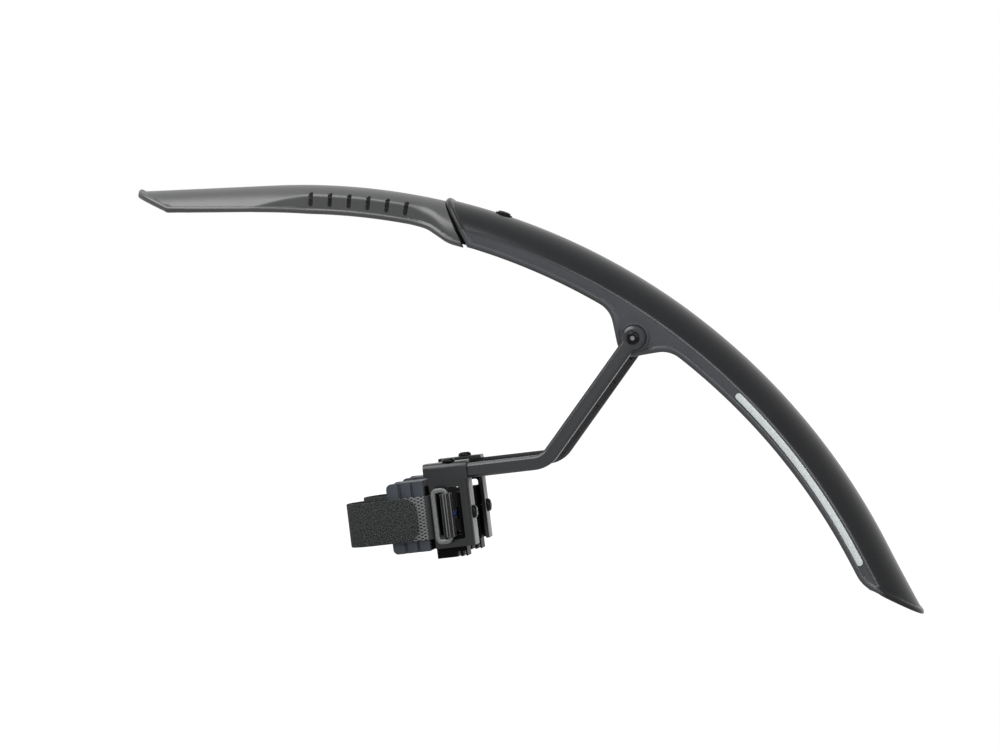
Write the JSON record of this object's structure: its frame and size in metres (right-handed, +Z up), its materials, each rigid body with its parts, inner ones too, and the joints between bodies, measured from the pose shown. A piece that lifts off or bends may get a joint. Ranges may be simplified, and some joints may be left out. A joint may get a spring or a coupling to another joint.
{
  "type": "bicycle mudguard",
  "caption": "Front bicycle mudguard: arched plastic blade with a slotted nose extension, on hinged stays whose padded strap clamps wrap round the fork legs.",
  "frame": {"origin": "midway between the two fork-leg seats, in the guard's plane of symmetry", "axes": "+X to the tail of the guard, +Y to the right of the bicycle, +Z up"},
  "size_m": [0.4532, 0.0882, 0.243],
  "materials": {
    "blade_plastic": "satin",
    "nose_plastic": "satin",
    "stay_plastic": "satin",
    "carrier_plastic": "matte",
    "washer_plastic": "satin",
    "bracket_steel": "satin",
    "black_steel": "gloss",
    "nut_steel": "satin",
    "ring_steel": "satin",
    "pad_rubber": "matte",
    "strap_fabric": "matte",
    "hook_fabric": "matte",
    "reflective_film": "gloss"
  },
  "bodies": {
    "left_arm": {"left_stay": "stay_plastic", "left_clamp_bracket": "bracket_steel", "left_clamp_screws": "black_steel", "left_pad_carrier": "carrier_plastic", "left_carrier_nut": "nut_steel", "left_pad": "pad_rubber", "left_strap": "strap_fabric", "left_hook_tab": "hook_fabric", "left_strap_ring": "ring_steel"},
    "guard": {"guard_blade": "blade_plastic", "nose_extension": "nose_plastic", "guard_screws": "black_steel", "guard_nuts": "nut_steel", "friction_washers": "washer_plastic", "left_reflector": "reflective_film", "right_reflector": "reflective_film"},
    "right_arm": {"right_stay": "stay_plastic", "right_clamp_bracket": "bracket_steel", "right_clamp_screws": "black_steel", "right_pad_carrier": "carrier_plastic", "right_carrier_nut": "nut_steel", "right_pad": "pad_rubber", "right_strap": "strap_fabric", "right_hook_tab": "hook_fabric", "right_strap_ring": "ring_steel"}
  },
  "joints": [
    {"name": "left_stay_pivot", "type": "hinge", "parent": "left_arm", "child": "guard", "pos_m": [0.14434, -0.0315, 0.10364], "axis": [0, 1, 0], "range_deg": [-35, 60]},
    {"name": "right_stay_pivot", "type": "hinge", "parent": "guard", "child": "right_arm", "pos_m": [0.14434, 0.0315, 0.10364], "axis": [0, 1, 0], "range_deg": [-60, 35]}
  ]
}
